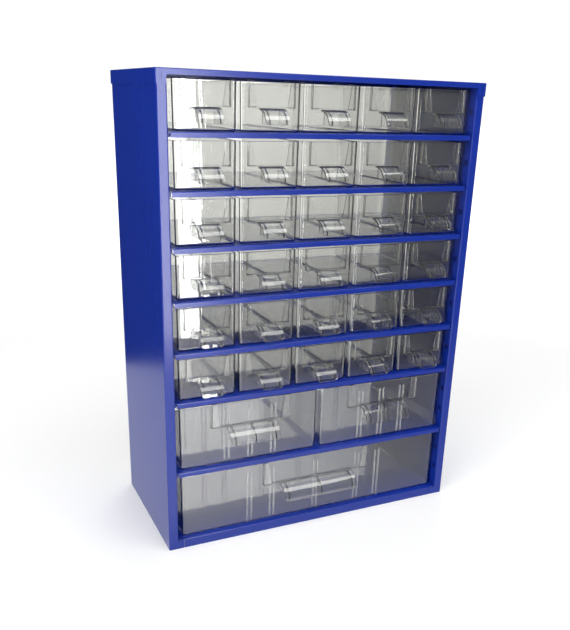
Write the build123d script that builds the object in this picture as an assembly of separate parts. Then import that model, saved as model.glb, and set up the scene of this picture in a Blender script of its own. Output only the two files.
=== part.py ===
from build123d import *
import os

# Parts organizer: a folded sheet-steel cabinet, open at the back, with clear sliding drawers.
# Millimetres. X runs across the front, Y from front to back, Z up.
# The origin is at the centre of the footprint, on the surface it stands on.

# ---------------------------------------------------------------- driving sizes
width = 306.0               # over the side skirts of the top panel
height = 415.0              # floor to the top face
housing_depth = 145.0       # steel housing, front face to rear face
sheet = 0.8                 # thickness of the painted steel
bend_radius = 1.0           # outer radius of the folds

# housing
flange_width = 9.5          # front flange of a side panel, seen from the front
return_depth = 10.0         # inner return flange, front to back
cap_skirt = 11.5            # depth of the top panel's skirts
top_rail = 4.65             # front and rear rails of the top panel
tab_inset = 0.5             # top panel's corner tab, short of the flange's edge
tab_corner = 1.5            # radius where the corner tab meets the front rail
dimple_width = 1.8          # oblong pressing in each corner tab
dimple_length = 5.0
dimple_depth = 0.35
base_height = 9.0           # front rail of the bottom panel
foot_tab = 15.0             # foot of a side panel, from the outer face inwards
seam_gap = 0.3              # between the base rail and the foot tabs

# shelves
levels = 18                 # slot pitches between the top rail and the base
base_level_offset = 3.1     # base panel's floor above its slot level
shelf_levels = (2, 4, 6, 8, 10, 12, 15)
lip_height = 4.4            # folded front edge of a shelf
rear_lip = 11.0             # folded rear edge: deeper, so that the drawers below stop against it
lip_end_gap = 2.0           # lip end to the flange beside it
shelf_end_gap = 0.3         # shelf plate to the return flange
tab_length = 5.0            # hook tab, front to back
tab_reach = 3.2             # hook tab past the return flange
tab_setback = 3.0           # hook tab behind the flange face
slot_clearance = 0.3
rib_width = 2.0             # pressed guide ribs between the drawers
rib_height = 2.0
rib_length = 16.0
rib_setback = 22.0          # rib centres from the shelf's front and rear edges

# drawers, common to every size
face_recess = 5.2           # drawer face behind the housing's front
hood_reach = 15.2           # finger hood in front of the drawer face
side_margin = 14.6          # housing's outer face to the outermost drawer
running_gap = 0.3           # drawer floor above its shelf
headroom = 2.2              # drawer's top edge below the shelf lip
closed_gap = 0.4            # drawer back to the shelf's rear lip
wall = 1.3                  # moulded wall
face_wall = 1.6
corner_radius = 2.6         # outside corners of the moulding
inner_radius = 1.2
label_proud = 1.8           # label holder in front of the drawer face
label_rim = 1.2             # edge strip that joins the holder to the face
label_card = 0.8            # slot for the label card
hood_wall = 1.4
hood_corner = 3.0
cheek = 1.2                 # web between the hood and the drawer face
divider_rib = 1.0           # one rib of a divider pair
divider_slot = 3.2          # clear slot between the two ribs
divider_depth = 1.2
divider_drop = 8.0          # divider ribs start this far below the top edge
lug_width = 6.0             # rear stop lugs
lug_inset = 4.0
lug_rise = 1.2              # lug above the underside of the front lip

# drawers, one set of values for each size
small = dict(columns=5, gap=3.0, label_margin=5.8, label_bottom=18.2, tab_top=4.0, tab_bottom=7.0,
             hood_width=21.5, hood_top=18.2, hood_bottom=6.2, cheeks=(-7.4, 7.4), dividers=())
medium = dict(columns=2, gap=5.0, label_margin=29.0, label_bottom=37.0, tab_top=5.5, tab_bottom=8.5,
              hood_width=49.0, hood_top=37.0, hood_bottom=22.8, cheeks=(-19.8, 0.0, 19.8),
              dividers=(-23.4, 0.0, 23.4))
large = dict(columns=1, gap=0.0, label_margin=81.6, label_bottom=37.5, tab_top=4.5, tab_bottom=8.5,
             hood_width=79.0, hood_top=37.5, hood_bottom=23.2, cheeks=(-34.8, 0.0, 34.8),
             dividers=(-70.5, -47.0, 0.0, 47.0, 70.5))
rows = (small,) * 6 + (medium, large)
side_names = {2: ("left", "right")}

# ---------------------------------------------------------------- derived places
overall_depth = housing_depth + hood_reach - face_recess
front = -overall_depth / 2 + hood_reach - face_recess      # front plane of the housing
back = front + housing_depth                               # rear plane of the housing
flange_front = front + sheet                               # side flanges sit behind the cap's tabs
web_outer = width / 2 - sheet                              # side panels sit inside the cap's skirts
web_inner = web_outer - sheet
flange_edge = width / 2 - flange_width                     # inner edge of the side flanges
panel_back = back - sheet                                  # rear face of the side panels
floor_back = panel_back - sheet                            # inner face of their rear flanges
level_pitch = (height - top_rail - base_height + base_level_offset) / levels
shelf_rear = panel_back - shelf_end_gap
face_y = front + face_recess
drawer_back = shelf_rear - sheet - closed_gap
drawer_length = drawer_back - face_y
drawers_half = width / 2 - side_margin                     # centre to the outermost drawer side
travel = drawer_back - wall - (flange_front + sheet) - closed_gap


def lip_bottom(level):
    """Height of the lower edge of a shelf lip at a slot level."""
    return height - top_rail - level * level_pitch


def block(x, y, z):
    """Box between two corners along each axis."""
    size = (x[1] - x[0], y[1] - y[0], z[1] - z[0])
    return Pos((x[0] + x[1]) / 2, (y[0] + y[1]) / 2, (z[0] + z[1]) / 2) * Box(*size)


def slot_span():
    """Front-to-back span of the slots in the front return flange."""
    start = flange_front + tab_setback - slot_clearance
    return start, start + tab_length + 2 * slot_clearance


def rear_slot_span():
    """Front-to-back span of the slots in the rear return flange."""
    end = panel_back - tab_setback + slot_clearance
    return end - tab_length - 2 * slot_clearance, end


def side_panel():
    """Left side panel: a folded channel with slotted returns and a foot."""
    web = -(web_outer - sheet / 2)
    inner = -(flange_edge + sheet / 2)
    first, last = flange_front + sheet / 2, panel_back - sheet / 2
    path = FilletPolyline(
        (inner, flange_front + return_depth), (inner, first), (web, first),
        (web, last), (inner, last), (inner, panel_back - return_depth),
        radius=bend_radius - sheet / 2)
    channel = extrude(trace(path, sheet), height - sheet)
    flange_back = flange_front + sheet
    returns = (-flange_edge - bend_radius, -flange_edge + sheet)
    channel -= block(returns, (flange_back, floor_back), (0, base_height + seam_gap))
    channel += block((-flange_edge - bend_radius, -width / 2 + foot_tab), (flange_front, flange_back),
                     (0, base_height - sheet))
    for level in range(1, levels):
        low = lip_bottom(level)
        for span in (slot_span(), rear_slot_span()):
            channel -= block(returns, span, (low, low + lip_height + slot_clearance))
    return channel


def top_panel():
    """Cap with skirts at the sides; front and rear have a low rail between two corner tabs."""
    body = block((-width / 2, width / 2), (front, back), (height - cap_skirt, height))
    body = fillet(body.edges().filter_by(Axis.Z) + body.edges().group_by(Axis.Z)[-1], bend_radius)
    body -= block((-web_outer, web_outer), (flange_front, back - sheet), (0, height - sheet))
    tab_edge = flange_edge + tab_inset
    window = block((-tab_edge, tab_edge), (front - 1, back + 1), (height - cap_skirt - 1, height - top_rail))
    window = fillet(window.edges().filter_by(Axis.Y).group_by(Axis.Z)[-1], tab_corner)
    body -= window
    for side in (-1, 1):
        press = Plane.XZ * Pos(side * (tab_edge + flange_width / 2 - tab_inset / 2), height - cap_skirt / 2)
        mark = extrude(press * Rot(0, 0, 90) * SlotOverall(dimple_length, dimple_width), dimple_depth, both=True)
        body -= Pos(0, front, 0) * mark
    return body


def bottom_panel():
    """Floor of the lowest row: an inverted tray with a front rail between the foot tabs."""
    rail_half = width / 2 - foot_tab - seam_gap
    first, last = flange_front + sheet + seam_gap, floor_back - seam_gap
    plate = block((-web_inner, web_inner), (first, last), (base_height - sheet, base_height))
    plate += block((-rail_half, rail_half), (flange_front, first), (base_height - sheet, base_height))
    plate += block((-rail_half, rail_half), (flange_front, flange_front + sheet), (0, base_height))
    plate += block((-web_inner, web_inner), (last - sheet, last), (0, base_height))
    for x in ((-web_inner, -web_inner + sheet), (web_inner - sheet, web_inner)):
        plate += block(x, (first, last), (0, base_height))
    rail_top = plate.edges().filter_by(Axis.X).group_by(Axis.Y)[0].group_by(Axis.Z)[-1]
    plate = fillet(rail_top, sheet * 0.8)
    return plate + guide_ribs(base_height, large)


def gap_centres(kind):
    """Places across the width where guide ribs stand: beside every drawer."""
    w = drawer_width(kind)
    first = -drawers_half - small["gap"] / 2
    inner = [-drawers_half + i * (w + kind["gap"]) - kind["gap"] / 2 for i in range(1, kind["columns"])]
    return [first] + inner + [-first]


def guide_ribs(z, kind):
    """Rounded pressings that stand on a shelf and keep its drawers in their columns."""
    rib = extrude(SlotOverall(rib_length, rib_width, rotation=90), rib_height)
    rib = fillet(rib.edges().group_by(Axis.Z)[-1], rib_width * 0.3)
    places = [Pos(x, y, z) * rib for x in gap_centres(kind)
              for y in (flange_front + rib_setback, shelf_rear - rib_setback)]
    return places


def shelf(level, kind):
    """Folded shelf with a front lip, a deeper rear lip, hook tabs and guide ribs."""
    low = lip_bottom(level)
    top = low + lip_height
    lip_half = flange_edge - lip_end_gap
    half = sheet / 2
    path = FilletPolyline(
        (flange_front + half, low), (flange_front + half, top - half),
        (shelf_rear - half, top - half), (shelf_rear - half, top - rear_lip), radius=bend_radius - half)
    section = Plane.YZ * trace(path, sheet)
    body = extrude(section, lip_half, both=True)
    plate_half = flange_edge - shelf_end_gap
    plate_y = (flange_front + bend_radius, shelf_rear - bend_radius)
    body += block((-plate_half, plate_half), plate_y, (top - sheet, top))
    reach = flange_edge + sheet + tab_reach
    front_tab = flange_front + tab_setback
    rear_tab = panel_back - tab_setback
    for x in ((-reach, -lip_half), (lip_half, reach)):
        body += block(x, (front_tab, front_tab + tab_length), (top - sheet, top))
        body += block(x, (front_tab, front_tab + sheet), (low, top))
        body += block(x, (rear_tab - tab_length, rear_tab), (top - sheet, top))
        body += block(x, (rear_tab - sheet, rear_tab), (low, top))
    return body + guide_ribs(top, kind)


def drawer_width(kind):
    """Width of one drawer in a row of this kind."""
    return (2 * drawers_half - (kind["columns"] - 1) * kind["gap"]) / kind["columns"]


def label_holder(kind, w, h):
    """Frame for a label card: open at the top, with tabs that slant in towards the bottom."""
    half = w / 2 - kind["label_margin"]
    low = kind["label_bottom"]
    holder = block((-half, half), (-label_proud, 0), (low, h))
    holder -= block((-half + label_rim, half - label_rim), (-label_card, 0), (low + label_rim, h + 1))
    outer = half - kind["tab_top"]
    inner = half - kind["tab_bottom"]
    window = Plane.XZ * make_face(Polyline((-inner, low + label_rim), (inner, low + label_rim),
                                           (outer, h + 1), (-outer, h + 1), close=True))
    return holder - extrude(window, label_proud + 1)


def finger_hood(kind):
    """Quarter-round hood that the finger hooks under, with webs back to the drawer face."""
    low, top = kind["hood_bottom"], kind["hood_top"]
    rise = top - low

    def quarter(inset):
        """Quarter ellipse under the hood's outer curve, reaching into the drawer face."""
        reach, lift = hood_reach - inset, rise - inset
        curve = EllipticalCenterArc((0, low), reach, lift, 90, arc_size=90)
        edges = Polyline((-reach, low), (face_wall / 2, low), (face_wall / 2, low + lift), (0, low + lift))
        return Plane.YZ * make_face(Curve() + [curve, edges])

    half = kind["hood_width"] / 2
    band = extrude(quarter(0) - quarter(hood_wall), half, both=True)
    outline = block((-half, half), (-hood_reach - 1, face_wall), (low, top))
    outline = fillet(outline.edges().filter_by(Axis.Y).group_by(Axis.Z)[0], hood_corner)
    band &= outline
    web = extrude(quarter(hood_wall / 2), cheek / 2, both=True)
    return [band] + [Pos(x, 0, 0) * web for x in kind["cheeks"]]


def drawer(kind, h):
    """One clear moulded drawer, face at y = 0 and floor at z = 0."""
    w = drawer_width(kind)
    centre = Pos(0, drawer_length / 2, 0)
    outer = centre * extrude(RectangleRounded(w, drawer_length, corner_radius), h)
    outer = fillet(outer.edges().group_by(Axis.Z)[0], corner_radius)
    room = Pos(0, (face_wall + drawer_length - wall) / 2, wall) * extrude(
        RectangleRounded(w - 2 * wall, drawer_length - face_wall - wall, inner_radius), h)
    room = fillet(room.edges().group_by(Axis.Z)[0], inner_radius)
    body = outer + label_holder(kind, w, h) + finger_hood(kind) - room
    lug_x = w / 2 - lug_inset - lug_width
    lug_y = (drawer_length - wall, drawer_length)
    for x in ((-lug_x - lug_width, -lug_x), (lug_x, lug_x + lug_width)):
        body += block(x, lug_y, (h - 1, h + headroom + lug_rise))
    for middle in kind["dividers"]:
        for side in (-1, 1):
            near = middle + side * (divider_slot + divider_rib) / 2
            x = (near - divider_rib / 2, near + divider_rib / 2)
            body += block(x, (face_wall - 0.2, face_wall + divider_depth), (wall / 2, h - divider_drop))
            rear = drawer_length - wall
            body += block(x, (rear - divider_depth, rear + 0.2), (wall / 2, h - divider_drop))
    return body


# ---------------------------------------------------------------- assembly
os.makedirs("parts", exist_ok=True)
nodes = {}
nodes["top_panel"] = top_panel()
nodes["bottom_panel"] = bottom_panel()
nodes["left_side_panel"] = side_panel()
nodes["right_side_panel"] = mirror(nodes["left_side_panel"], Plane.YZ)
for number, level in enumerate(shelf_levels):
    nodes[f"shelf_{number + 1}"] = shelf(level, rows[number])

floors = [lip_bottom(level) + lip_height for level in shelf_levels] + [base_height]
ceilings = [height - top_rail] + [lip_bottom(level) for level in shelf_levels]
moulds = {}
for row, kind in enumerate(rows):
    z = floors[row] + running_gap
    h = round(ceilings[row] - headroom - z, 6)
    if (id(kind), h) not in moulds:
        moulds[id(kind), h] = drawer(kind, h)
    w = drawer_width(kind)
    for column in range(kind["columns"]):
        x = -drawers_half + w / 2 + column * (w + kind["gap"])
        if kind is small:
            name = f"small_drawer_r{row + 1}_c{column + 1}"
        elif kind is medium:
            name = f"medium_drawer_{side_names[2][column]}"
        else:
            name = "large_drawer"
        nodes[name] = Pos(x, face_y, z) * moulds[id(kind), h]

for name, solid in nodes.items():
    export_step(solid, f"parts/{name}.step")
print(f"{len(nodes)} pieces, drawer {drawer_length:.1f} long, travel {travel:.2f}")
print(f"small {drawer_width(small):.2f}, medium {drawer_width(medium):.2f}, large {drawer_width(large):.2f}")
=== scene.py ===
# %% [markdown]
# # A steel parts cabinet with clear drawers
# The imported model gives every piece its size and place. This file gives each piece its look:
# glossy blue powder coat on the folded steel, and clear moulded plastic for the drawers.
# The frame is loaded first.

# %% Load the frame
import bpy
import numpy as np
from mathutils import Matrix, Vector


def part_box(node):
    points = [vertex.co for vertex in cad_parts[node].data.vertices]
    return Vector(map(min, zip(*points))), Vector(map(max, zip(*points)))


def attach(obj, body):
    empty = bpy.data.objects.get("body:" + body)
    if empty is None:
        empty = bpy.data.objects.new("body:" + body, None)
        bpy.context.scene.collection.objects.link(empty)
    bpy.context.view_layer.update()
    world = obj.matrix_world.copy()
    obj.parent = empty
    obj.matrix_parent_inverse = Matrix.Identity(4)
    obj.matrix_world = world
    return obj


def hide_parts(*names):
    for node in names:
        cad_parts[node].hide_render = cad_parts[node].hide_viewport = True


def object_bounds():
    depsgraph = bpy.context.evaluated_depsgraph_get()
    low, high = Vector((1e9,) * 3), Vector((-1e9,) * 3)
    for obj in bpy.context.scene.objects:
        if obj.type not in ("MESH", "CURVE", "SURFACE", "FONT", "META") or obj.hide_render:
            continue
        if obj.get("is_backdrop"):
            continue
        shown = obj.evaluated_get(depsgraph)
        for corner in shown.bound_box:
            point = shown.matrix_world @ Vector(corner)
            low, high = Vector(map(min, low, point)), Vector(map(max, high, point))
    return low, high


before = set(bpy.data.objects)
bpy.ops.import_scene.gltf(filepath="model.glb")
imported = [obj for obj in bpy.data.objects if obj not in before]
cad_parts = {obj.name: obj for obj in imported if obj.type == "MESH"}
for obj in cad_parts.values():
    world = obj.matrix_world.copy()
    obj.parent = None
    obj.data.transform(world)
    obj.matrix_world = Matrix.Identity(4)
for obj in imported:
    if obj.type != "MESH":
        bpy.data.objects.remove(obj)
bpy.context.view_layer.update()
mm = 0.001
steel_nodes = [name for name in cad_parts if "drawer" not in name]
drawer_nodes = [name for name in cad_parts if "drawer" in name]
print(len(steel_nodes), "steel pieces and", len(drawer_nodes), "drawers")

# %% [markdown]
# ## Shader maths as Python
# A material's pattern is arithmetic on sockets. One small class wraps a socket, so that a line such as
# `base + 0.2 * noise` adds the Math nodes by itself. Everything else comes from one method, `node`.

# %% Socket arithmetic
class Wire:
    """A shader socket that can be added, subtracted, multiplied and clamped."""

    def __init__(self, tree, socket):
        self.tree, self.socket = tree, socket

    def math(self, operation, first, second, clamp=False):
        made = self.tree.nodes.new("ShaderNodeMath")
        made.operation, made.use_clamp = operation, clamp
        for slot, value in zip(made.inputs, (first, second)):
            plug(self.tree, slot, value)
        return Wire(self.tree, made.outputs[0])

    def __add__(self, other): return self.math("ADD", self, other)
    def __radd__(self, other): return self.math("ADD", other, self)
    def __sub__(self, other): return self.math("SUBTRACT", self, other)
    def __rsub__(self, other): return self.math("SUBTRACT", other, self)
    def __mul__(self, other): return self.math("MULTIPLY", self, other)
    def __rmul__(self, other): return self.math("MULTIPLY", other, self)
    def clamped(self): return self.math("ADD", self, 0.0, clamp=True)


def plug(tree, slot, value):
    """Links a wire to a socket, or sets the socket's own value."""
    if isinstance(value, Wire):
        tree.links.new(value.socket, slot)
    elif value is not None:
        slot.default_value = value


class Finish:
    """A material under construction, ending in a Principled shader."""

    def __init__(self, name):
        self.material = bpy.data.materials.new(name)
        self.material.use_nodes = True
        self.tree = self.material.node_tree
        self.shader = self.tree.nodes["Principled BSDF"]

    def node(self, kind, settings=None, output=0, **inputs):
        """Adds one node: its settings first, then its sockets. Underscores stand for spaces."""
        made = self.tree.nodes.new("ShaderNode" + kind)
        for key, value in (settings or {}).items():
            setattr(made, key, value)
        for key, value in inputs.items():
            plug(self.tree, made.inputs[key.replace("_", " ")], value)
        return Wire(self.tree, made.outputs[output])

    def mix(self, amount, first, second):
        """A colour between two colours."""
        made = self.tree.nodes.new("ShaderNodeMix")
        made.data_type = "RGBA"
        plug(self.tree, made.inputs[0], amount)
        plug(self.tree, made.inputs[6], first)
        plug(self.tree, made.inputs[7], second)
        return Wire(self.tree, made.outputs[2])

    def axes(self):
        """The place on the object, as one wire for each axis."""
        apart = self.tree.nodes.new("ShaderNodeSeparateXYZ")
        plug(self.tree, apart.inputs[0], self.node("TexCoord", output=3))
        return [Wire(self.tree, out) for out in apart.outputs]

    def only_glow(self, color, strength=1.0):
        """Black under every lamp, and bright by itself."""
        self.set(Base_Color=(0, 0, 0, 1), Specular_IOR_Level=0.0,
                 Emission_Color=color, Emission_Strength=strength)

    def grey(self, red_and_green, blue):
        """A colour made of two brightnesses."""
        return self.node("CombineColor", Red=red_and_green, Green=red_and_green, Blue=blue)

    def set(self, **inputs):
        for key, value in inputs.items():
            plug(self.tree, self.shader.inputs[key.replace("_", " ")], value)
        return self

    def blend(self, amount, other):
        """Shows another shader in place of the Principled one, by an amount."""
        mixed = self.node("MixShader")
        shown = (amount, Wire(self.tree, self.shader.outputs[0]), other)
        for slot, value in zip(mixed.socket.node.inputs, shown):
            plug(self.tree, slot, value)
        plug(self.tree, self.tree.nodes["Material Output"].inputs["Surface"], mixed)

    def bump(self, height, strength, distance):
        made = self.tree.nodes.new("ShaderNodeBump")
        made.inputs["Strength"].default_value = strength
        made.inputs["Distance"].default_value = distance
        plug(self.tree, made.inputs["Height"], height)
        plug(self.tree, self.shader.inputs["Normal"], Wire(self.tree, made.outputs[0]))


print("shader helpers ready")

# %% [markdown]
# ## Powder coat
# The steel is coated with a deep royal blue that cures to a gloss. Close up, powder coat has a faint
# orange-peel ripple a few millimetres wide, tiny pits, and slightly uneven gloss where it has been handled.
# Noise on Object coordinates gives all three, so the pattern runs on from one panel to the next.

# %% Blue powder coat
def powder_coat():
    smooth_roughness, peel_depth = 0.19, 0.25 * mm
    paint = Finish("blue_powder_coat")
    place = paint.node("TexCoord", output=3)
    broad = paint.node("TexNoise", Vector=place, Scale=9.0, Detail=3.0)
    peel = paint.node("TexNoise", Vector=place, Scale=330.0, Detail=2.0, Roughness=0.4)
    grain = paint.node("TexNoise", Vector=place, Scale=1500.0, Detail=2.0)
    handled = paint.node("TexNoise", Vector=place, Scale=42.0, Detail=5.0, Roughness=0.65)
    worn = ((handled - 0.52) * 4.0).clamped()
    deep, fresh = (0.0040, 0.023, 0.262, 1), (0.0062, 0.031, 0.322, 1)
    paint.set(Base_Color=paint.mix(broad, deep, fresh), IOR=1.5,
              Roughness=smooth_roughness + 0.05 * worn + 0.03 * grain)
    paint.bump(peel + 0.12 * grain, 0.11, peel_depth)
    return paint.material


steel_paint = powder_coat()
for name in steel_nodes:
    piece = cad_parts[name]
    piece.data.materials.clear()
    piece.data.materials.append(steel_paint)
print("coated", len(steel_nodes), "steel pieces")

# %% [markdown]
# ## Clear plastic
# The drawers are moulded in clear polystyrene. Seen face on, a wall is almost invisible. It bends light
# where it is seen along its length, as at a rim, a rib or a corner, and it has faint upright flow streaks.
# Lamps shine through it with a little loss, so that the inside of the cabinet isn't black.

# %% Clear plastic
def clear_plastic():
    streak_stretch = (1.0, 0.35, 0.06)
    streak_depth, lamp_loss = 0.25 * mm, 0.20
    plastic = Finish("clear_plastic")
    place = plastic.node("TexCoord", output=3)
    drawn = plastic.node("VectorMath", {"operation": "MULTIPLY"}, Vector=place)
    drawn.socket.node.inputs[1].default_value = streak_stretch
    flow = plastic.node("TexNoise", Vector=drawn, Scale=190.0, Detail=2.0)
    scuff = plastic.node("TexNoise", Vector=place, Scale=160.0, Detail=4.0, Roughness=0.7)
    haze = ((scuff - 0.55) * 2.0).clamped()
    plastic.set(Base_Color=(0.972, 0.975, 0.965, 1), Roughness=0.02 + 0.05 * haze, IOR=1.59,
                Transmission_Weight=1.0, Coat_Weight=0.08 + 0.12 * haze, Coat_Roughness=0.30,
                Coat_IOR=1.5)
    plastic.bump(flow, 0.20, streak_depth)
    lamp_ray = plastic.node("LightPath", output=1)
    see_through = plastic.node("BsdfTransparent", Color=(*[1 - lamp_loss] * 3, 1))
    plastic.blend(lamp_ray, see_through)
    return plastic.material


drawer_plastic = clear_plastic()
print("clear plastic ready")

# %% [markdown]
# ## Surfaces from arrays
# A drawer is a thin tub. Its skin is one profile carried round a rounded rectangle: out across the floor,
# up the wall, over the rim and down the inside. The profile and the path are arrays, so the whole skin is
# worked out at once. Small pieces on it are flat outlines with a thickness.

# %% Mesh helpers
hold = 0.08          # from a corner's end to the point that keeps the flat side flat


def rounded_ring(half_x, y_front, y_back, radius, corner_steps=6):
    """Points round a rectangle with rounded corners, anticlockwise from above.
    Each corner is a quarter circle about a centre one radius in from both sides. A point just before
    and just after it, along the tangent, keeps the flat sides shaded flat."""
    turn = np.linspace(0, np.pi / 2, corner_steps + 1)
    turn = np.concatenate([[0], turn, [np.pi / 2]])
    slide = np.zeros(len(turn))
    slide[0], slide[-1] = -hold, hold
    centres = np.array([[half_x - radius, y_back - radius], [radius - half_x, y_back - radius],
                        [radius - half_x, y_front + radius], [half_x - radius, y_front + radius]])
    angle = turn[None, :] + np.arange(4)[:, None] * np.pi / 2
    x = centres[:, :1] + radius * np.cos(angle) - slide * np.sin(angle)
    y = centres[:, 1:] + radius * np.sin(angle) + slide * np.cos(angle)
    return np.stack([x.ravel(), y.ravel()], axis=1)


def strip_faces(rows, columns, closed_columns=True):
    """Quads between neighbouring rows of a grid; the columns may close on themselves."""
    across = columns if closed_columns else columns - 1
    r, c = np.meshgrid(np.arange(rows - 1), np.arange(across), indexing="ij")
    here, beside = r * columns + c, r * columns + (c + 1) % columns
    return np.stack([here, beside, beside + columns, here + columns], axis=-1).reshape(-1, 4).tolist()


def slab(outline, y0, y1):
    """A flat outline in X and Z, anticlockwise seen from the front, with a thickness from y0 to y1."""
    outline = np.asarray(outline, float)
    n = len(outline)
    points = np.array([[x, y, z] for y in (y0, y1) for x, z in outline])
    sides = [[i, i + n, (i + 1) % n + n, (i + 1) % n] for i in range(n)]
    return points, [list(range(n)), list(range(2 * n - 1, n - 1, -1))] + sides


def brick(x, y, z):
    """A slab with straight sides between two places along each axis."""
    return slab([(x[0], z[0]), (x[1], z[0]), (x[1], z[1]), (x[0], z[1])], *y)


def joined(*pieces):
    """One list of points and faces from several closed shells."""
    points, faces, start = [], [], 0
    for piece_points, piece_faces in pieces:
        points.append(piece_points)
        faces += [[i + start for i in face] for face in piece_faces]
        start += len(piece_points)
    return np.concatenate(points), faces


def new_piece(name, points, faces, material, sharp=32):
    """A mesh object at the origin, in metres, shaded smooth except at sharp folds."""
    mesh = bpy.data.meshes.new(name)
    mesh.from_pydata(points.tolist(), [], faces)
    mesh.validate()
    mesh.shade_smooth()
    mesh.set_sharp_from_angle(angle=np.radians(sharp))
    mesh.materials.append(material)
    made = bpy.data.objects.new(name, mesh)
    bpy.context.scene.collection.objects.link(made)
    return made


print("a ring has", len(rounded_ring(1, 0, 2, 0.2)), "points")

# %% [markdown]
# ## One drawer
# All drawers share their wall, corner and hood sizes, and each size of drawer adds its own label holder,
# hood width and divider ribs. Lengths are in millimetres here, with the drawer's face at y = 0.

# %% Drawer sizes
hood_reach = 15.2           # in front of the drawer's face
hood_wall = 1.4
hood_rounding = 3.0         # lower corners of the hood
web_half = 0.6              # half the thickness of a web under the hood
wall, face_wall = 1.3, 1.6
corner, inner_corner = 2.6, 1.2
draft = 0.35                # how much narrower the tub is at its floor, on each side
rim_radius = 0.5
label_proud = 1.8           # label holder in front of the face
label_slot = 0.8            # room behind its tabs for the card
label_rim = 1.2
lug_rise = 3.4              # stop lugs above the drawer's edge
lug_width, lug_inset = 6.0, 4.0
rib_spread, rib_half = 2.1, 0.5   # a divider's two ribs, from its middle, and half of one rib
rib_depth, rib_drop = 1.2, 8.0
small = dict(label_margin=5.8, label_bottom=18.2, tab_top=4.0, tab_bottom=7.0, hood_width=21.5,
             hood_top=18.2, hood_bottom=6.2, cheeks=(-7.4, 7.4), dividers=())
medium = dict(label_margin=29.0, label_bottom=37.0, tab_top=5.5, tab_bottom=8.5, hood_width=49.0,
              hood_top=37.0, hood_bottom=22.8, cheeks=(-19.8, 0.0, 19.8), dividers=(-23.4, 0.0, 23.4))
large = dict(label_margin=81.6, label_bottom=37.5, tab_top=4.5, tab_bottom=8.5, hood_width=79.0,
             hood_top=37.5, hood_bottom=23.2, cheeks=(-34.8, 0.0, 34.8),
             dividers=(-70.5, -47.0, 0.0, 47.0, 70.5))


# %% The tub
def tub(width, length, height):
    """Thin open box. Outer rows: a quarter round from the floor to the wall, then the wall with its
    draft. Then a half round over the rim, the inner wall, and a quarter round to the inner floor."""
    turn = np.linspace(0, np.pi / 2, 6)
    rim = np.linspace(0, np.pi, 7)[1:-1]
    outer_in, outer_z = corner * (1 - np.sin(turn)), corner * (1 - np.cos(turn))
    inner_in = wall + inner_corner * (1 - np.sin(turn[::-1]))
    inner_z = wall + inner_corner * (1 - np.cos(turn[::-1]))
    half_wall, shoulder = wall / 2, height - rim_radius
    inset = np.concatenate([[corner + hold], outer_in, [0, 0, 0], half_wall - half_wall * np.cos(rim),
                            [wall, wall, wall], inner_in, [wall + inner_corner + hold]])
    z = np.concatenate([[0], outer_z, [corner + hold, shoulder - hold, shoulder],
                        shoulder + rim_radius * np.sin(rim),
                        [shoulder, shoulder - hold, wall + inner_corner + hold], inner_z, [wall]])
    inside = np.arange(len(z)) > len(outer_z) + 4 + len(rim) // 2
    lean = draft * (1 - z / height)
    front_extra = np.where(inside, face_wall - wall, 0)
    rings = []
    for d, level, skew, extra in zip(inset, z, lean, front_extra):
        radius = max(corner - d, inner_corner - max(d - wall, 0) if d >= wall else 0, 0.06)
        ring = rounded_ring(width / 2 - d - skew, d + extra, length - d - skew, radius)
        rings.append(np.column_stack([ring, np.full(len(ring), level)]))
    n = len(rings[0])
    faces = strip_faces(len(rings), n)
    last = (len(rings) - 1) * n
    faces += [list(range(n - 1, -1, -1)), list(range(last, last + n))]
    return np.concatenate(rings), faces


def hood(kind, steps=10):
    """Finger hood: a quarter ellipse with a thickness, carried across the width. Near its lower edge
    the width shrinks by a quarter circle, which rounds the two lower corners."""
    low, rise = kind["hood_bottom"], kind["hood_top"] - kind["hood_bottom"]
    t = np.linspace(0, np.pi / 2, steps + 1)
    outer = np.column_stack([-hood_reach * np.sin(t), low + rise * np.cos(t)])
    inner = np.column_stack([-(hood_reach - hood_wall) * np.sin(t[::-1]),
                             low + (rise - hood_wall) * np.cos(t[::-1])])
    start = np.array([[face_wall / 2, low + rise]])
    end = np.array([[face_wall / 2, low + rise - hood_wall]])
    profile = np.concatenate([start, outer, inner, end])
    short = hood_rounding - np.clip(profile[:, 1] - low, 0, hood_rounding)
    half = kind["hood_width"] / 2 - (hood_rounding - np.sqrt(hood_rounding ** 2 - short ** 2))
    across = np.sin(np.linspace(-np.pi / 2, np.pi / 2, 13))
    x = across[:, None] * half[None, :]
    yz = np.broadcast_to(profile, (len(across),) + profile.shape)
    points = np.concatenate([x[..., None], yz], axis=2).reshape(-1, 3)
    n = len(profile)
    faces = strip_faces(len(across), n)
    ends = [[i, i + 1, n - 2 - i, n - 1 - i] for i in range(n // 2 - 1)]
    last = (len(across) - 1) * n
    faces += [face[::-1] for face in ends] + [[i + last for i in face] for face in ends]
    return points, faces


def cheek_web(kind, middle, steps=8):
    """Web under the hood: a filled quarter ellipse that ends inside the hood's wall."""
    low, rise = kind["hood_bottom"] + 0.3, kind["hood_top"] - kind["hood_bottom"] - 1.0
    reach = hood_reach - hood_wall / 2
    t = np.linspace(0, np.pi / 2, steps + 1)
    y = np.concatenate([[face_wall / 2], -reach * np.sin(t), [face_wall / 2]])
    z = np.concatenate([[low + rise], low + rise * np.cos(t), [low]])
    n = len(y)
    points = np.array([[x, a, b] for x in (middle - web_half, middle + web_half)
                       for a, b in zip(y, z)])
    sides = [[(i + 1) % n, (i + 1) % n + n, i + n, i] for i in range(n)]
    return points, [list(range(n - 1, -1, -1)), list(range(n, 2 * n))] + sides


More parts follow.
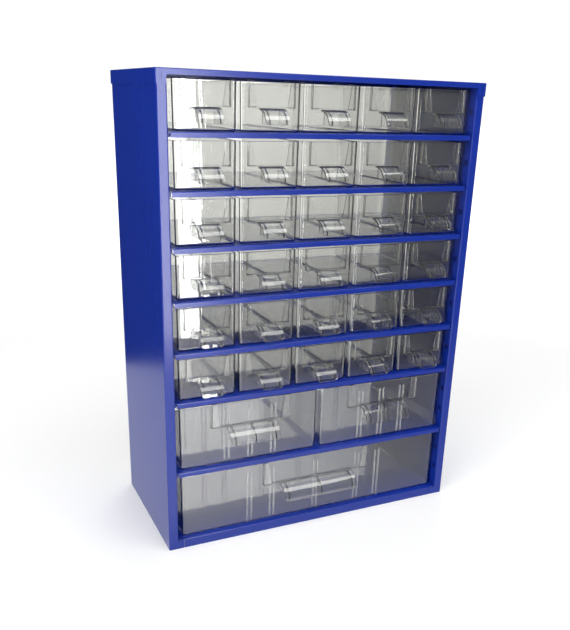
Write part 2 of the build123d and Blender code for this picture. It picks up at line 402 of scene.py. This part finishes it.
def label_holder(kind, width, height):
    """Frame for a label card: a bottom bar, two edge strips, and two tabs that widen downwards."""
    half, low = width / 2 - kind["label_margin"], kind["label_bottom"]
    rim, proud, cut, root = label_rim, label_proud, 0.8, 0.3
    bar = slab([(-half + cut, low), (half - cut, low), (half, low + cut), (half, low + rim),
                (-half, low + rim), (-half, low + cut)], -proud, root)
    made = [bar]
    for side in (-1, 1):
        edge = sorted((side * half, side * (half - rim)))
        made.append(brick(edge, (-proud, root), (low + rim / 2, height)))
        outer, start = side * (half - rim / 2), low + rim / 2
        tab = [(outer, start), (side * (half - kind["tab_bottom"]), start),
               (side * (half - kind["tab_top"]), height), (outer, height)]
        made.append(slab(tab[::-side], -proud, -label_slot))
    return made


def drawer(kind, width, length, height):
    """All the shells of one drawer, in millimetres."""
    made = [tub(width, length, height), hood(kind)]
    made += [cheek_web(kind, x) for x in kind["cheeks"]]
    made += label_holder(kind, width, height)
    lug_x = width / 2 - lug_inset - lug_width
    for side in (-1, 1):
        x = sorted((side * lug_x, side * (lug_x + lug_width)))
        made.append(brick(x, (length - wall - 0.1, length - draft), (height - 2, height + lug_rise)))
    front_rib = (face_wall - 0.3, face_wall + rib_depth)
    rear_rib = (length - wall - rib_depth - 0.4, length - wall + 0.1)
    for middle in kind["dividers"]:
        for x in (middle - rib_spread, middle + rib_spread):
            for y in (front_rib, rear_rib):
                made.append(brick((x - rib_half, x + rib_half), y, (wall / 2, height - rib_drop)))
    return joined(*made)


# %% Build and place the drawers
shapes = {}
pieces = []
for name in drawer_nodes:
    kind = small if name.startswith("small") else medium if name.startswith("medium") else large
    low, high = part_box(name)
    size = (high - low) / mm
    key = (round(size.x, 2), round(size.z, 2))
    if key not in shapes:
        shapes[key] = drawer(kind, size.x, size.y - hood_reach, size.z - lug_rise)
    points, faces = shapes[key]
    place = np.array([(low.x + high.x) / 2, low.y + hood_reach * mm, low.z])
    piece = new_piece(name.replace("drawer", "clear_drawer"), points * mm + place, faces, drawer_plastic)
    soften = piece.modifiers.new("soft_edges", "BEVEL")
    soften.width, soften.segments, soften.limit_method = 0.3 * mm, 2, "ANGLE"
    soften.angle_limit = np.radians(40)
    soften.harden_normals = True
    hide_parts(name)
    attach(piece, name)
    pieces.append(piece)
print(len(pieces), "drawers;", {k: len(v[1]) for k, v in shapes.items()}, "faces each")

# %% [markdown]
# ## Studio
# A pale table, a tall soft light ahead on the right, a softer one overhead, and a weak fill all round. The
# steel is glossy, so what it mirrors matters as much as what lights it. The drawers show what stands behind
# the open back, so a dim room is there for them alone.

# %% Floor and lights
def lamp_face(name, strength):
    """A surface that gives white light and mirrors nothing."""
    made = Finish(name)
    made.only_glow((1, 1, 1, 1), strength)
    return made.material


def card(name, corners, material):
    """A flat four-sided stage piece."""
    made = new_piece(name, np.array(corners, float), [[0, 1, 2, 3]], material)
    made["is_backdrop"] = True
    return made


def upright(name, x, y, z, material):
    """A stage piece that stands across the view, from x[0] to x[1] and from z[0] to z[1]."""
    return card(name, [(x[0], y, z[0]), (x[1], y, z[0]), (x[1], y, z[1]), (x[0], y, z[1])], material)


def level(name, x, y, z, material):
    """A stage piece that lies flat, from x[0] to x[1] and from y[0] to y[1]."""
    return card(name, [(x[0], y[0], z), (x[1], y[0], z), (x[1], y[1], z), (x[0], y[1], z)], material)


def pale_floor():
    """White card with a faint glow that grows far from the cabinet, so that it has no horizon."""
    card_white = Finish("pale_floor")
    place = card_white.node("TexCoord", output=3)
    away = card_white.node("VectorMath", {"operation": "LENGTH"}, output=1, Vector=place)
    lift = 0.10 + ((away - 0.7) * 0.7).clamped() * 0.75
    card_white.set(Base_Color=(0.90, 0.90, 0.895, 1), Roughness=0.8, Emission_Strength=1.0,
                   Emission_Color=card_white.grey(lift, lift))
    return card_white.material


floor = level("floor", (-12, 12), (-12, 12), 0, pale_floor())
floor.visible_glossy = floor.visible_transmission = False


def glow_table():
    """What the gloss mirrors low down: a white table, brightest ahead on the left where the soft light
    falls on it, and dimmer to the right and beside the cabinet."""
    top = Finish("table_mirror")
    x, y, _ = top.axes()
    rightward = ((x + 0.12) * 2.8).clamped()
    ahead_of_it = (-10.0 * y - 0.4).clamped()
    farther = ((-1.0 * y - 0.3) * 2.5).clamped()
    glow = 0.66 + ahead_of_it * (1.25 + farther * 0.9 - rightward * (1.35 + farther * 1.4))
    top.only_glow(top.grey(glow, glow))
    return top.material


table = card("table_glow", [(-1.6, -0.69, 0), (1.6, -0.69, 0), (1.6, 1.6, 0), (-0.32, 0.42, 0)],
             glow_table())
table.location.z = -0.0005
table.visible_camera = table.visible_diffuse = table.visible_shadow = False
soft_x, soft_y, soft_glow, overhead_glow = (0.28, 0.53), -2.0, 13.0, 3.2
soft_top = upright("softbox", soft_x, soft_y, (0.0, 2.6), lamp_face("softbox_light", soft_glow))
soft_low = upright("softbox_low", soft_x, soft_y, (-1.5, 0.0), lamp_face("softbox_low_light", soft_glow))
overhead = level("overhead_softbox", (-1.0, 1.0), (-1.4, -0.3), 1.7,
                 lamp_face("overhead_light", overhead_glow))
for soft in (soft_top, soft_low):
    soft.visible_camera = soft.visible_diffuse = False
overhead.visible_camera = False
soft_low.data.materials[0].cycles.emission_sampling = "NONE"


def dim_room():
    """What shows through the drawers: the room behind, dimmest low down and to the left, with a dim
    patch on the right that ends where the cabinet's own side hides it."""
    room = Finish("dim_room")
    x, _, z = room.axes()
    left, beyond = (-5.0 * x).clamped(), (12.0 * x - 5.4).clamped()
    patch = (1.3 * (1.25 - 2.0 * x).clamped() * (1.0 - left) + 0.25 * left) * (1.0 - beyond) + beyond
    glow = patch * (0.72 + 0.75 * z).clamped() + 0.06
    room.only_glow(room.grey(glow, 0.97 * glow))
    return room.material


room_paint = dim_room()
room_x, room_back = (-2, 2), 0.5
room_wall = upright("room_wall", room_x, room_back, (0, 1.5), room_paint)
room_floor = level("room_floor", room_x, (0.09, room_back), 0.0005, room_paint)
for seen_through in (room_wall, room_floor):
    seen_through.visible_camera = seen_through.visible_diffuse = seen_through.visible_glossy = False
    seen_through.visible_shadow = False
room_paint.cycles.emission_sampling = "NONE"


def area_light(name, place, target, size, power):
    light = bpy.data.lights.new(name, "AREA")
    light.shape, light.size, light.energy = "DISK", size, power
    made = bpy.data.objects.new(name, light)
    made.location = place
    made.rotation_mode = "QUATERNION"
    made.rotation_quaternion = (Vector(target) - Vector(place)).to_track_quat("-Z", "Y")
    made.visible_glossy = made.visible_camera = False
    bpy.context.scene.collection.objects.link(made)
    return made


area_light("fill_left", (-1.6, -0.8, 1.3), (0, 0, 0.2), 1.4, 14)
area_light("fill_back", (0.8, 1.6, 1.4), (0, 0, 0.2), 1.4, 12)

world = bpy.data.worlds.new("studio")
bpy.context.scene.world = world
world.use_nodes = True
sky = world.node_tree
ray = sky.nodes.new("ShaderNodeLightPath")
background = sky.nodes["Background"]


# How bright the surroundings are to each kind of ray. Through the plastic they are bright towards the back
# and dim towards the front.
to_surfaces, to_camera, to_gloss = 0.55, 1.05, 0.02
to_plastic_back, to_plastic_front = 0.85, 0.22
behind_plastic = Wire(sky, ray.outputs["Is Transmission Ray"])
mirrored = Wire(sky, ray.outputs["Is Glossy Ray"]) * (1.0 - behind_plastic)
seen = Wire(sky, ray.outputs["Is Camera Ray"])
way = sky.nodes.new("ShaderNodeSeparateXYZ")
sky.links.new(sky.nodes.new("ShaderNodeTexCoord").outputs["Generated"], way.inputs[0])
forward = (Wire(sky, way.outputs["Y"]) * -4.0).clamped()
through = (to_plastic_back - to_surfaces) - forward * (to_plastic_back - to_plastic_front)
surroundings = (to_surfaces + seen * (to_camera - to_surfaces) + mirrored * (to_gloss - to_surfaces)
                + behind_plastic * through)
plug(sky, background.inputs["Strength"], surroundings)
background.inputs["Color"].default_value = (1, 1, 1, 1)
bpy.context.scene.view_settings.view_transform = "Standard"
bpy.context.scene.cycles.transparent_max_bounces = 48
bpy.context.scene.cycles.max_bounces = bpy.context.scene.cycles.transmission_bounces = 24
print("studio ready")

# %% [markdown]
# ## Camera
# The camera stands to the left at the height of the cabinet's top, turned a little to the right and
# tilted down, with a slight roll. Its shift keeps the cabinet framed without tilting it further.

# %% Camera
eye = Vector((-319.4, -661.7, 397.0)) * mm
yaw, pitch, roll = np.radians(26.12), np.radians(-20.77), np.radians(1.98)
ahead = Vector((np.sin(yaw) * np.cos(pitch), np.cos(yaw) * np.cos(pitch), np.sin(pitch)))
level = Vector((np.cos(yaw), -np.sin(yaw), 0))
over = level.cross(ahead)
right = np.cos(roll) * level + np.sin(roll) * over
up = np.cos(roll) * over - np.sin(roll) * level
lens = bpy.data.cameras.new("camera")
lens.lens, lens.sensor_width = 43.62, 36
lens.shift_x, lens.shift_y = -0.0172, 0.1151
camera = bpy.data.objects.new("camera", lens)
camera.matrix_world = Matrix.Translation(eye) @ Matrix((right, up, -ahead)).transposed().to_4x4()
bpy.context.scene.collection.objects.link(camera)
bpy.context.scene.camera = camera
lens.clip_start, lens.clip_end = 0.01, 60
print("camera at", [round(v, 3) for v in camera.location])

# %% Print sizes and finish
bpy.context.view_layer.update()
low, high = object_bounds()
print("visual box in mm:", [round(v / mm, 1) for v in (*low, *high)])
